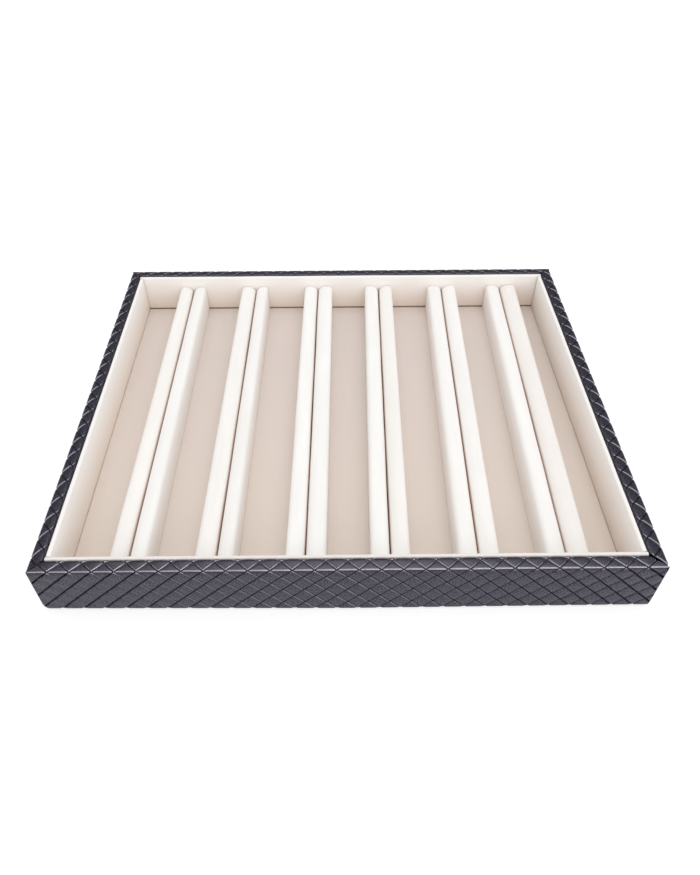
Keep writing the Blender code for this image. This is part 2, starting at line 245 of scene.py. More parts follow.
# %% The strip's sizes, read from the solids
WRAP_LOW, WRAP_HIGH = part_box("leatherette_wrap")
SIDES = (WRAP_HIGH.x - WRAP_LOW.x, WRAP_HIGH.y - WRAP_LOW.y) * 2
CORNERS_U = tuple(sum(SIDES[:count]) for count in range(len(SIDES) + 1))
STRIP_LENGTH = CORNERS_U[-1]
RIM_TOP = WRAP_HIGH.z
FACE_FOOT = WRAP_LOW.z
FACE_HEIGHT = RIM_TOP - FACE_FOOT
GLUE_LINE = 0.3 * MM
RIM_WIDTH = WRAP_HIGH.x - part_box("lining_velvet_right")[1].x - GLUE_LINE
HEM_UNDER = 14 * MM
HEM_INSIDE = 12 * MM
BACKING = 0.35 * MM
LEATHER = 1.0 * MM
print("strip", round(STRIP_LENGTH, 4), "long, face", round(FACE_HEIGHT, 4), "rim", round(RIM_WIDTH, 4))

# %% [markdown]
# ### Embossing the flat strip
#
# Straight cuts at 45 degrees divide the strip into diamonds. Each diamond is then inset
# several times, and each inset face is lifted a little less than the one before. The steps
# follow the section of a pressed tile: a narrow flat groove, a steep wall, a rounded lip, and
# a flat top.

# %% Cut and press the diamonds
TILE_DIAGONAL = 10.4 * MM
FIRST_CROSSING = -0.35 * MM
FIELD_BOTTOM = -7 * TILE_DIAGONAL / 2
FIELD_TOP = 2 * TILE_DIAGONAL / 2
# A cell is inset only while its room is more than this many times the step
INSET_ROOM = 1.3
# Each step: how far the next ring lies inside the last one, and how much higher
TILE_STEPS = (
    (0.15 * MM, 0.00 * MM),
    (0.07 * MM, 0.14 * MM),
    (0.13 * MM, 0.20 * MM),
    (0.15 * MM, 0.17 * MM),
    (0.22 * MM, 0.11 * MM),
    (0.16 * MM, 0.03 * MM),
)


def room_in(face):
    """Roughly the radius of the largest circle that fits in a flat cell."""
    return 2 * face.calc_area() / face.calc_perimeter()


def field_faces(bm):
    """The faces of the part of the strip that is embossed."""
    return [face for face in bm.faces if FIELD_BOTTOM < face.calc_center_median().y < FIELD_TOP]


def embossed_strip():
    """The flat strip with its diamonds, as one sheet that faces up."""
    bm = bmesh.new()
    bmesh.ops.create_grid(bm, x_segments=1, y_segments=1, size=0.5)
    low = -FACE_HEIGHT - HEM_UNDER
    high = RIM_WIDTH + HEM_INSIDE
    bmesh.ops.scale(bm, vec=(STRIP_LENGTH, high - low, 1), verts=bm.verts)
    bmesh.ops.translate(bm, vec=(STRIP_LENGTH / 2, (low + high) / 2, BACKING), verts=bm.verts)
    for v in (FIELD_BOTTOM, FIELD_TOP):
        cut_line(bm, (0, v, 0), (0, 1, 0))
    spare = int((FIELD_TOP - FIELD_BOTTOM) / TILE_DIAGONAL) + 1
    for count in range(-spare, int(STRIP_LENGTH / TILE_DIAGONAL) + spare + 1):
        crossing = (FIRST_CROSSING + count * TILE_DIAGONAL, 0, 0)
        for slope in (-1, 1):
            cut_line(bm, crossing, (1, slope, 0), field_faces(bm))
    tiles = field_faces(bm)
    print("diamonds", len(tiles))
    for step, rise in TILE_STEPS:
        tiles = [face for face in tiles if room_in(face) > INSET_ROOM * step]
        bmesh.ops.inset_individual(bm, faces=tiles, thickness=step, depth=rise, use_even_offset=True)
    return bm


strip = embossed_strip()
print("embossed strip", len(strip.faces), "faces")

# %% [markdown]
# ### Notching the corners
#
# Where the strip turns a corner, its rim and its under hem would fold double. A wedge is cut
# out there, so that two flaps meet along a mitre. The real cuts are not equally neat: at the
# front right the flaps stand apart near the inner corner, and at the front left they close.

# %% Cut the mitres
# For each corner from the front left on: the gap at the outer end and at the inner end
MITRE_GAPS = (
    (0.10 * MM, 0.30 * MM),
    (0.50 * MM, 2.20 * MM),
    (0.10 * MM, 0.35 * MM),
    (0.10 * MM, 0.40 * MM),
    (0.10 * MM, 0.30 * MM),
)
SEAM_HALF = 0.05 * MM
NOTCH_REACH = 2 * (RIM_WIDTH + HEM_INSIDE)


def notch_slope(gaps):
    """How fast a notch widens away from the fold, where 1 makes a mitre that closes."""
    outer, inner = gaps
    return 1 + (inner - outer) / (2 * RIM_WIDTH)


def notch_width(above, gaps):
    """Half the width of a notch at a distance past the fold."""
    return gaps[0] / 2 + above * notch_slope(gaps)


def in_notch(point, corner, gaps):
    """Whether a flat point is cut away. Inside the tray the notch goes straight down."""
    above = min(point.y, RIM_WIDTH) if point.y > 0 else -FACE_HEIGHT - point.y
    return above > 0 and abs(point.x - corner) < notch_width(above, gaps)


def faces_near(bm, corner, line, way):
    """The faces near a corner that lie past a line along the strip, up or down."""
    found = []
    for face in bm.faces:
        middle = face.calc_center_median()
        if (middle.y - line) * way > 0 and abs(middle.x - corner) < NOTCH_REACH:
            found.append(face)
    return found


def cut_notch(bm, corner, gaps):
    """Cuts both wedges of a corner out of the strip, at the rim and at the under hem."""
    for side in (-1, 1):
        cut_line(bm, (corner + side * NOTCH_REACH, 0, 0), (1, 0, 0))
    for side in (-1, 1):
        for fold, way in ((0, 1), (-FACE_HEIGHT, -1)):
            place = (corner + side * gaps[0] / 2, fold, 0)
            across = (side, -way * notch_slope(gaps), 0)
            cut_line(bm, place, across, faces_near(bm, corner, fold, way))
        inner_end = (corner + side * notch_width(RIM_WIDTH, gaps), 0, 0)
        cut_line(bm, inner_end, (1, 0, 0), faces_near(bm, corner, RIM_WIDTH, 1))
    gone = [face for face in bm.faces if in_notch(face.calc_center_median(), corner, gaps)]
    bmesh.ops.delete(bm, geom=gone, context="FACES")


def cut_notches(bm):
    """Notches every corner, and trims both ends of the strip to the seam."""
    for fold in (0, -FACE_HEIGHT, RIM_WIDTH):
        cut_line(bm, (0, fold, 0), (0, 1, 0))
    for corner, gaps in zip(CORNERS_U, MITRE_GAPS):
        cut_notch(bm, corner, gaps)
    for end, way in ((SEAM_HALF, -1), (STRIP_LENGTH - SEAM_HALF, 1)):
        bmesh.ops.bisect_plane(
            bm,
            geom=bm.verts[:] + bm.edges[:] + bm.faces[:],
            dist=CUT_TOLERANCE,
            plane_co=(end, 0, 0),
            plane_no=(way, 0, 0),
            clear_outer=True,
        )


cut_notches(strip)
print("notched strip", len(strip.faces), "faces")

# %% [markdown]
# ### Giving the strip its back
#
# So far the strip is a sheet. Its open border is extruded down to the back of the leatherette,
# and the hole that is left is filled. Cut lines only divide a face well when it has no bays, so
# the filled face is split into triangles. The back stays plain, because it is glued down.


# %% Close the back of the strip
def close_back(bm):
    """Gives the embossed sheet its cut edges and its back."""
    border = [edge for edge in bm.edges if edge.is_boundary]
    walls = bmesh.ops.extrude_edge_only(bm, edges=border)["geom"]
    for vert in (item for item in walls if isinstance(item, bmesh.types.BMVert)):
        vert.co.z = 0
    border = [edge for edge in bm.edges if edge.is_boundary]
    back = bmesh.ops.holes_fill(bm, edges=border, sides=0)["faces"]
    bmesh.ops.triangulate(bm, faces=back)
    bmesh.ops.recalc_face_normals(bm, faces=bm.faces)


close_back(strip)
print("open edges left", sum(edge.is_boundary for edge in strip.edges))

# %% [markdown]
# ### Folding the strip over the boards
#
# Folding is a map from the flat strip to the tray. Across the strip it follows the section:
# under the tray, round the foot, up the face, over the top edge, across the rim and down
# inside. A stiff film over board doesn't bend in one even arc: it starts to lean some way off
# and makes most of its turn in a crisp middle. So the section is walked in small steps with a
# heading that turns slowly, then fast, then slowly again.

# %% The section, walked along the strip
# For each fold: its place across the strip, how far off the bend starts, half the width of its
# crisp middle, the share of the quarter turn that the middle makes, and the middle's cut steps
FOLDS = (
    (-FACE_HEIGHT, 1.5 * MM, 0.5 * MM, 0.75, 4),
    (0, 3.3 * MM, 0.75 * MM, 0.66, 6),
    (RIM_WIDTH, 1.4 * MM, 0.85 * MM, 0.80, 3),
)
WALK_STEP = 0.02 * MM
BEND_SAMPLES = 400


def turn_made(v, fold):
    """The share of a fold's quarter turn that is made at a place across the strip."""
    place, reach, crisp, share, _ = fold
    stations = (-reach, -crisp, crisp, reach)
    return np.interp(v - place, stations, (0, (1 - share) / 2, (1 + share) / 2, 1))


def walk_section():
    """Stations across the strip with their inset from the outer face, height and heading."""
    v = np.arange(-FACE_HEIGHT - HEM_UNDER, RIM_WIDTH + HEM_INSIDE + WALK_STEP, WALK_STEP)
    heading = np.full(len(v), pi)
    pace = np.ones(len(v))
    for fold in FOLDS:
        place, reach = fold[:2]
        heading -= turn_made(v, fold) * pi / 2
        bend = np.linspace(place - reach, place + reach, BEND_SAMPLES)
        pace[abs(v - place) < reach] = 1 / (2 * np.cos(turn_made(bend, fold) * pi / 2).mean())
    middle = (heading[1:] + heading[:-1]) / 2
    stride = WALK_STEP * (pace[1:] + pace[:-1]) / 2
    inset = HEM_UNDER + np.concatenate([[0], np.cumsum(np.cos(middle) * stride)])
    height = FACE_FOOT + np.concatenate([[0], np.cumsum(np.sin(middle) * stride)])
    return v, inset, height, heading


STATIONS, STATION_INSET, STATION_HEIGHT, STATION_HEADING = walk_section()
print("outermost inset", round(STATION_INSET.min() / MM, 3), "mm")
print("rim height", round(STATION_HEIGHT.max() / MM, 3), "mm")

# %% [markdown]
# Along the strip the fold follows the four sides, and the upright corners are rounded by a map
# that turns a square corner into a quarter circle. The real tray isn't dead true: at the foot
# the corners are rounder and the front bows out a little, and the right wall leans out at its
# top. More cut lines at each fold let the flat faces bend.

# %% Where each point of the strip goes
CORNER_ROUND = 1.4 * MM
CORNER_STEPS = 6
# The rounds of the upright corners at the foot, at the left and at the right
FOOT_ROUNDS = (3.2 * MM, 1.8 * MM)
FOOT_ROUND_HEIGHTS = (1.5 * MM, 4.5 * MM)
# How far the front stands out at its foot, at the left, halfway and at the right, and how far
# the right wall stands out at its top
FOOT_BOWS = (0.3 * MM, 1.7 * MM, 1.0 * MM)
TOP_LEAN = 0.9 * MM


def cut_rounds(bm):
    """Cut lines close enough together for the folds to bend smoothly."""
    for place, reach, crisp, _, steps in FOLDS:
        bends = [-reach, reach]
        bends += [crisp * (2 * step / steps - 1) for step in range(steps + 1)]
        if place == 0:
            bends += [-(reach + crisp) / 2, (reach + crisp) / 2]
        for bend in bends:
            cut_line(bm, (0, place + bend, 0), (0, 1, 0))
    for corner in CORNERS_U:
        bends = [CORNER_ROUND * (2 * step / CORNER_STEPS - 1) for step in range(CORNER_STEPS + 1)]
        for bend in (FOOT_ROUNDS[0], 0.75 * FOOT_ROUNDS[0]):
            bends += [-bend, bend]
        for bend in bends:
            cut_line(bm, (corner + bend, 0, 0), (1, 0, 0))


def fold_section(v, h):
    """The inset from the outer face, and the height, of a point across the strip."""
    deep = LEATHER - h
    heading = np.interp(v, STATIONS, STATION_HEADING)
    inset = np.interp(v, STATIONS, STATION_INSET) + deep * sin(heading)
    return inset, np.interp(v, STATIONS, STATION_HEIGHT) - deep * cos(heading)


def rounded_corner(a, b, radius):
    """Moves a point past the start of an upright corner's round, in both ways, onto the round."""
    if a <= 0 or b <= 0:
        return a, b
    return a * sqrt(max(0, 1 - (b / radius) ** 2 / 2)), b * sqrt(max(0, 1 - (a / radius) ** 2 / 2))


def side_at(u):
    """Which side of the tray a place along the strip belongs to: front, right, back or left."""
    return max(index for index in range(len(SIDES)) if CORNERS_U[index] <= u or index == 0)


def settle(x, y, z):
    """Bows the foot of the front a little, and leans the top of the right wall out."""
    height = z / RIM_TOP
    bow = np.interp(x, (-SIDES[0] / 2, 0, SIDES[0] / 2), FOOT_BOWS) * max(0, 1 - height)
    lean = TOP_LEAN * height * np.interp(SIDES[0] / 2 - x, (0, RIM_WIDTH), (1, 0))
    return x + lean, y - bow * np.interp(SIDES[1] / 2 + y, (0, RIM_WIDTH), (1, 0)), z


def fold_over(point):
    """Where a point of the flat strip lies on the tray."""
    u, v, h = point
    inset, z = fold_section(v, h)
    side = side_at(u)
    along = u - CORNERS_U[side] - SIDES[side] / 2
    outward = SIDES[side - 1] / 2 - inset
    x, y = ((along, -outward), (outward, along), (-along, outward), (-outward, -along))[side]
    radius = np.interp(z, FOOT_ROUND_HEIGHTS, (FOOT_ROUNDS[int(x > 0)], CORNER_ROUND))
    start_x = SIDES[0] / 2 - radius
    start_y = SIDES[1] / 2 - radius
    past_x, past_y = rounded_corner(abs(x) - start_x, abs(y) - start_y, radius)
    x = (start_x + past_x) * (1 if x > 0 else -1)
    y = (start_y + past_y) * (1 if y > 0 else -1)
    return settle(x, y, z)


cut_rounds(strip)
print("strip cut for its folds", len(strip.faces), "faces")

# %% [markdown]
# ### Painted highlights and painted shade on the film
#
# Highlights are painted on the lips of the tiles and on the top edges, and shade in the grooves,
# on some lips and just under the top outer edge, each more on some sides than on others, as light
# falls there. Both are worked out on the flat strip, where it is easy to say how high a point
# stands and which way the groove beside it runs. They are stored as values on the mesh, which
# the material reads. A value on the corners of faces, and not on points, lets two faces that
# share a point differ.

# %% Painted highlights and painted shade
# The painted highlight on the top outer edge, across the strip
EDGE_HIGHLIGHT_PLACES = (-0.25 * MM, 0.00 * MM, 0.40 * MM, 0.70 * MM, 2.40 * MM)
EDGE_HIGHLIGHT_SHARES = (0, 0.92, 0.92, 0.14, 0)
# A painted shade line right under that edge
EDGE_SHADE_PLACES = (-1.80 * MM, -0.90 * MM, -0.45 * MM, -0.25 * MM)
EDGE_SHADE_SHARES = (0, 0.45, 0.45, 0)
# The painted highlight on the tile tops on the rim of each side: front, right, back and left
RIM_TOP_HIGHLIGHTS = (0.18, 0.04, 0.14, 0.04)
# Grooves that rise to the right on the flat strip catch the light unlike grooves that fall, so
# they get other painted light. First the painted highlight on the lips beside both: on the rim of
# each side, and on a face at its left end, halfway and at its right end
RIM_LIP_HIGHLIGHTS = {"rising": (1.00, 0.85, 0.65, 0.10), "falling": (1.00, 0.10, 0.65, 0.80)}
FACE_LIP_HIGHLIGHTS = {"rising": (0.00, 0.10, 0.00), "falling": (0.12, 0.40, 0.00)}
# Then the painted shade in the grooves on each rim, and on the lips at the three places of a face
RIM_GROOVE_SHADES = {"rising": (0.15, 0.80, 0.50, 0.05), "falling": (0.15, 0.30, 0.50, 0.30)}
FACE_SHADES = {"rising": (0.80, 0.00, 0.10), "falling": (0.00, 0.00, 0.60)}
# A face of the strip that tilts less than this counts as flat
FLAT_TILT = 0.0001


def groove_beside(face):
    """Which way the groove at a face of the flat strip runs, from the face's tilt or length."""
    lean = face.normal.x * face.normal.y
    if abs(lean) < FLAT_TILT:
        longest = max(face.edges, key=lambda edge: edge.calc_length())
        run = longest.verts[1].co - longest.verts[0].co
        lean = -run.x * run.y
    return "falling" if lean > 0 else "rising"


def lip_share(pressed):
    """1 on the lip of a tile, 0 in the groove and on the tile's top."""
    return np.interp(pressed, (0.20, 0.50, 0.90, 0.97), (0, 1, 1, 0))


def along_side(u, at_ends_and_middle):
    """A value at a place along a side, from its left end, its middle and its right end."""
    side = side_at(u)
    return np.interp((u - CORNERS_U[side]) / SIDES[side], (0, 0.5, 1), at_ends_and_middle)


def painted_highlight(u, v, pressed, groove):
    """The painted highlight at a point: tile lips, most on the rim, and the top edges."""
    side = side_at(u)
    lip = lip_share(pressed)
    on_face = along_side(u, FACE_LIP_HIGHLIGHTS[groove])
    lip_highlight = np.interp(v, (-2 * MM, 0), (on_face, RIM_LIP_HIGHLIGHTS[groove][side]))
    top = np.interp(pressed, (0.6, 0.9), (0, 1))
    top_highlight = RIM_TOP_HIGHLIGHTS[side] * top * np.interp(v, (-0.25 * MM, 0), (0, 1))
    outer_edge = top * np.interp(v, EDGE_HIGHLIGHT_PLACES, EDGE_HIGHLIGHT_SHARES)
    inner_edge = top * np.interp(abs(v - RIM_WIDTH), (0.3 * MM, 0.8 * MM), (0.2, 0))
    return max(lip * lip_highlight, top_highlight, outer_edge, inner_edge)


def painted_shade(u, v, pressed, groove):
    """The painted shade at a point: in the grooves, on the lips of a face, and partly under the top edge.
    """
    depth = np.interp(v, (-0.25 * MM, 0.5 * MM), (1, RIM_GROOVE_SHADES[groove][side_at(u)]))
    groove_shade = depth * np.interp(pressed, (0.10, 0.25), (1, 0))
    shade = along_side(u, FACE_SHADES[groove]) * np.interp(v, (-2 * MM, 0), (1, 0))
    return max(groove_shade, shade * lip_share(pressed), np.interp(v, EDGE_SHADE_PLACES, EDGE_SHADE_SHARES))


print("polish of the front edge", round(float(painted_highlight(STRIP_LENGTH / 8, 0, 1, "falling")), 2))

# %% Fold the strip
# The folded film wanders from its straight course by this much, at this many waves a metre
SWAY = 0.10 * MM
SWAY_SCALE = 90


def fold_strip(bm):
    """Folds the strip, and keeps the flat place, the painted shade and the painted highlight of its
    points.
    """
    uv = bm.loops.layers.uv.new("flat_strip")
    highlight_paint = bm.loops.layers.float.new("highlight_paint")
    film_shade = bm.loops.layers.float.new("film_shade")
    bm.normal_update()
    for face in bm.faces:
        groove = groove_beside(face)
        for loop in face.loops:
            u, v, h = loop.vert.co
            pressed = (h - BACKING) / (LEATHER - BACKING)
            loop[uv].uv = (u / TILE_DIAGONAL, v / TILE_DIAGONAL)
            loop[highlight_paint] = painted_highlight(u, v, pressed, groove)
            loop[film_shade] = painted_shade(u, v, pressed, groove)
    for vert in bm.verts:
        sway = noise.noise_vector(vert.co.xy.to_3d() * SWAY_SCALE) * SWAY
        flat = Vector((vert.co.x, vert.co.y + sway.y, vert.co.z))
        vert.co = fold_over(flat)


fold_strip(strip)
print("folded strip, lowest point", round(min(vert.co.z for vert in strip.verts) / MM, 3), "mm")

# %% [markdown]
# ### The leatherette's finish
#
# Leatherette is a film with a fine pebble grain and a low gloss. The grain follows the strip
# and not the tray, so it reads the strip's own flat map. In the pits of the grain, and as
# painted shade in the grooves and under the top edge, the shader turns to a black metal, which
# reflects nothing. As a painted highlight on the lips and edges, the shader is metallic, light
# and smooth, and still catches thin bright lines of light from the lamps.


# %% Leatherette material
# The film's tones: two for its open grain, one for its pits, one for painted shade, one for painted
# highlights
FILM_TONES = ((0.030, 0.025, 0.056, 1), (0.028, 0.028, 0.050, 1))
PIT_TONE = (0.012, 0.010, 0.024, 1)
SHADE_TONE = (0.002, 0.002, 0.003, 1)
HIGHLIGHT_TONE = (0.48, 0.455, 0.52, 1)
GRAIN_DEPTH = 0.08 * MM


def leatherette_material():
    material, tree, shader = new_material(
        "leatherette", Specular_IOR_Level=1.0, Specular_Tint=(0.93, 0.88, 1.0, 1)
    )
    flat = add_node(tree, "UVMap", {"uv_map": "flat_strip"}).outputs["UV"]
    film_shade = add_node(tree, "Attribute", {"attribute_name": "film_shade"}).outputs["Fac"]
    highlight_paint = add_node(tree, "Attribute", {"attribute_name": "highlight_paint"}).outputs["Fac"]
    grain = add_noise(tree, flat, 14, detail=4, roughness=0.7)
    cells = add_node(tree, "TexVoronoi", {"feature": "SMOOTH_F1"}, Scale=15, Smoothness=0.6)
    tree.links.new(flat, cells.inputs["Vector"])
    patches = add_range(tree, add_noise(tree, flat, 0.9, detail=2), 0.35, 0.65)
    tint = add_mix(tree, patches, *FILM_TONES)
    top = add_mix(tree, add_range(tree, grain, 0.3, 0.7), PIT_TONE, tint)
    # matt holds the grain's pits and the painted shade of grooves, lips and the line under the top edge
    matt = add_larger(tree, add_range(tree, grain, 0.42, 0.58, 0.72, 0), film_shade)
    film = add_mix(tree, matt, top, SHADE_TONE)
    # Painted highlight: the base colour goes to a light metallic tone where highlights fall
    tree.links.new(add_mix(tree, highlight_paint, film, HIGHLIGHT_TONE), shader.inputs["Base Color"])
    metallic = add_larger(tree, matt, add_range(tree, highlight_paint, 0, 0.2))
    tree.links.new(metallic, shader.inputs["Metallic"])
    tree.links.new(add_range(tree, highlight_paint, 0, 1, 0.36, 0.20), shader.inputs["Roughness"])
    height = add_sum(tree, cells.outputs["Distance"], grain, 0.8)
    add_bump(tree, height, GRAIN_DEPTH, shader)
    return material


LEATHERETTE = leatherette_material()
make_piece("leatherette_cover", strip, LEATHERETTE, ["leatherette_wrap"], 60)

# %% [markdown]
# ### A dark patch under each mitre, as painted shade
#
# Where the two flaps of a mitre stand apart, the bare board would show. Here a thin plate just
# above the board and two strips down its inner sides fill it, wholly dark as painted shade, so
# an open mitre looks black.


# %% Mitre patches
PATCH_LIFT = 0.05 * MM
PATCH_INSET = 1.5 * MM
PATCH_WIDTH = 1.2 * MM
PATCH_FOOT = 12 * MM
PATCH_TURN = 0.2 * MM


def mitre_shade_patches():
    """For each corner a plate on the boards, and strips down beside the ends of the flaps."""
    rim_in = Vector((WRAP_HIGH.x - RIM_WIDTH, WRAP_HIGH.y - RIM_WIDTH, 0))
    board_in = Vector((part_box("wall_board_right")[0].x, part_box("wall_board_back")[0].y, 0))
    board_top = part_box("wall_board_front")[1].z
    plate_low = rim_in.xy.to_3d() + Vector((-PATCH_TURN, -PATCH_TURN, board_top + PATCH_LIFT))
    plate_high = WRAP_HIGH - Vector((PATCH_INSET, PATCH_INSET, LEATHER + PATCH_LIFT))
    strip_high = board_in.xy.to_3d() + Vector((-PATCH_LIFT, -PATCH_LIFT, board_top + PATCH_LIFT))
    boxes = [(plate_low, plate_high)]
    for across in (0, 1):
        strip_low = rim_in.xy.to_3d() + Vector((PATCH_LIFT, PATCH_LIFT, PATCH_FOOT))
        strip_low[across] -= PATCH_WIDTH
        boxes.append((strip_low, strip_high))
    bm = bmesh.new()
    for side_x in (-1, 1):
        for side_y in (-1, 1):
            for low, high in boxes:
                x, y, z = (low + high) / 2
                add_box(bm, high - low, (side_x * x, side_y * y, z))
    # Full painted shade all over the patches, so they render black
    film_shade = bm.verts.layers.float.new("film_shade")
    for vert in bm.verts:
        vert[film_shade] = 1
    return make_piece("mitre_shade_patches", bm, LEATHERETTE)


mitre_shade_patches()

# %% [markdown]
# ## Velvet
#
# Velvet scatters light softly and is brighter where it is seen at a low angle, which the
# sheen of the Principled shader gives. Its pile leans a little differently from place to
# place, and shows as faint streaks along the way it was brushed. Toward the foot of a wall or
# a roll its tone is painted warmer and darker, as painted shade, and the floor's tone is
# lighter and warmer toward the front. Painted shade also takes the velvet to a deep brown in
# its joints, its slots and a few other places, so each velvet piece carries a value for that,
# and the shader goes to the deep colour there.

# %% Velvet material
PILE_SCALE = 2600
PILE_DEPTH = 0.06 * MM
BRUSH_SCALE = 60


def velvet_material(name, light, dark, foot, deep, foot_range, stretch, streak, foot_axis="Z"):
    """Velvet with a streaked tone between light and dark, a foot tone over a range of an axis, and
    painted shade.
    """
    material, tree, shader = new_material(
        name, Roughness=0.95, Sheen_Weight=0.4, Sheen_Roughness=0.5, Specular_IOR_Level=0.1
    )
    place = add_node(tree, "TexCoord").outputs["Object"]
    axes = add_node(tree, "SeparateXYZ")
    tree.links.new(place, axes.inputs["Vector"])
    velvet_shade = add_node(tree, "Attribute", {"attribute_name": "velvet_shade"}).outputs["Fac"]
    pile = add_noise(tree, place, PILE_SCALE, detail=2)
    brushed = add_noise(tree, add_mapping(tree, place, stretch), BRUSH_SCALE, detail=4)
    streaks = add_range(tree, brushed, 0.3, 0.7, 0.0, streak)
    share = add_sum(tree, streaks, pile, 0.25)
    streaked_tone = add_mix(tree, share, light, dark)
    # The foot tone: painted shade toward the foot of a wall or a roll; on the floor, lighter toward the
    # front
    foot_share = add_range(tree, axes.outputs[foot_axis], *foot_range, 1, 0)
    pile_tone = add_mix(tree, foot_share, streaked_tone, foot)
    # Painted shade: the tone goes toward the deep colour as far as the mesh's shade value says
    tree.links.new(add_mix(tree, velvet_shade, pile_tone, deep), shader.inputs["Base Color"])
    add_bump(tree, pile, PILE_DEPTH, shader)
    return material


CREAM_ROLL = velvet_material(
    "cream_velvet_roll",
    light=(0.985, 0.97, 0.945, 1),
    dark=(0.88, 0.86, 0.83, 1),
    foot=(0.83, 0.765, 0.715, 1),
    deep=(0.70, 0.53, 0.43, 1),
    foot_range=(12 * MM, 23 * MM),
    stretch=(2.5, 0.4, 2.5),
    streak=0.5,
)
CREAM_LINING = velvet_material(
    "cream_velvet_lining",
    light=(0.965, 0.935, 0.91, 1),
    dark=(0.94, 0.90, 0.865, 1),
    foot=(0.88, 0.775, 0.685, 1),
    deep=(0.25, 0.16, 0.10, 1),
    foot_range=(9 * MM, 29 * MM),
    stretch=(1, 1, 1),
    streak=0.5,
)
FLOOR_VELVET = velvet_material(
    "floor_velvet",
    light=(0.80, 0.695, 0.665, 1),
    dark=(0.765, 0.695, 0.635, 1),
    foot=(0.835, 0.745, 0.675, 1),
    deep=(0.20, 0.13, 0.09, 1),
    foot_range=(-100 * MM, 60 * MM),
    stretch=(2.2, 0.15, 1),
    streak=0.9,
    foot_axis="Y",
)
print("velvets", CREAM_ROLL.name, CREAM_LINING.name, FLOOR_VELVET.name)

# %% [markdown]
# ## The wall linings
#
# Each lining is a card with velvet glued over it and turned over its top edge, so it shows as a
# slightly padded wall with a soft round top. A cube is stretched to its place and its long top
# edges are bevelled. Bisecting it lengthwise gives the velvet points to be uneven at, by about
# a tenth of a millimetre, as glued cloth is. The floor pad and the rolls start in the same way,
# so the helpers come first.


# %% Helpers for padded boxes
def box_bmesh(low, high):
    """A mesh that holds one box between two corners."""
    bm = bmesh.new()
    add_box(bm, high - low, (low + high) / 2)
    return bm


def upper_edges(bm, above):
    """The edges that lie above a height."""
    return [edge for edge in bm.edges if min(vert.co.z for vert in edge.verts) > above]


def long_edges(bm, axis, above):
    """The edges that run along an axis and lie above a height."""
    ends = ((edge, *edge.verts) for edge in upper_edges(bm, above))
    return [edge for edge, first, second in ends if abs(first.co[axis] - second.co[axis]) > MM]


def round_edges(bm, edges, radius, steps):
    """Turns edges into rounds of a radius."""
    bmesh.ops.bevel(
        bm, geom=edges, offset=radius, segments=steps, profile=0.5, affect="EDGES", material=-1
    )


def round_shoulders(bm, axis, line, near, far):
    """Rounds a box's long top edges: the one nearer to a line, then the one farther off."""
    top = max(vert.co.z for vert in bm.verts) - MM / 10

    def off_line(edge):
        return abs(edge.verts[0].co[1 - axis] - line)

    round_edges(bm, [min(long_edges(bm, axis, top), key=off_line)], *near)
    round_edges(bm, [max(long_edges(bm, axis, top), key=off_line)], *far)


def slice_along(bm, axis, spacing):
    """Cuts a mesh into slices along an axis, so that it can be made uneven."""
    low = min(vert.co[axis] for vert in bm.verts)
    high = max(vert.co[axis] for vert in bm.verts)
    count = int((high - low) / spacing)
    across = Vector((0, 0, 0))
    across[axis] = 1
    for index in range(1, count):
        place = Vector((0, 0, 0))
        place[axis] = low + (high - low) * index / count
        cut_line(bm, place, across)


def unsettle(bm, amount, scale, seed, stay_below):
    """Moves points a little by smooth noise, except those below a height."""
    for vert in bm.verts:
        if vert.co.z > stay_below:
            vert.co += noise.noise_vector(vert.co * scale + Vector((seed, 0, 0))) * amount


def mark_velvet_shade(bm, share_at):
    """Stores the painted shade at each point, from a function of its place."""
    velvet_shade = bm.verts.layers.float.new("velvet_shade")
    for vert in bm.verts:
        vert[velvet_shade] = share_at(vert.co)


print("padded box helpers ready")

# %% Linings
# Each round of a top edge: its radius and its steps
LINING_INNER_ROUND = (1.1 * MM, 7)
LINING_OUTER_ROUND = (1.0 * MM, 3)
LINING_SLICE = 4 * MM
FLOOR_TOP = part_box("floor_velvet")[1].z
# Painted shade in the joint at a lining's foot: full up to the first height above the floor, gone by the
# second, and how dark on each wall
JOINT_REACH = (0.3 * MM, 0.7 * MM)
JOINT_SHADES = {"front": 0.3, "back": 0.85, "left": 0.05, "right": 0.22}
# Painted shade in the joint up each back corner
CORNER_JOINT_SHADE = 0.6
# How far the front lining's top hangs at its left end, halfway and at its right end
FRONT_SAGS = (0.2 * MM, 0.4 * MM, 0.0 * MM)
# Painted shade over the front card's top edge, down to the second depth below it, and at the
# foot of the right lining, up to the second height
TOP_EDGE_SHADE = 0.13
TOP_EDGE_SHADE_DEPTHS = (1 * MM, 2 * MM)
FOOT_SHADE = 0.13
FOOT_SHADE_HEIGHTS = (8 * MM, 18 * MM)
LINING_UNEVEN = 0.12 * MM


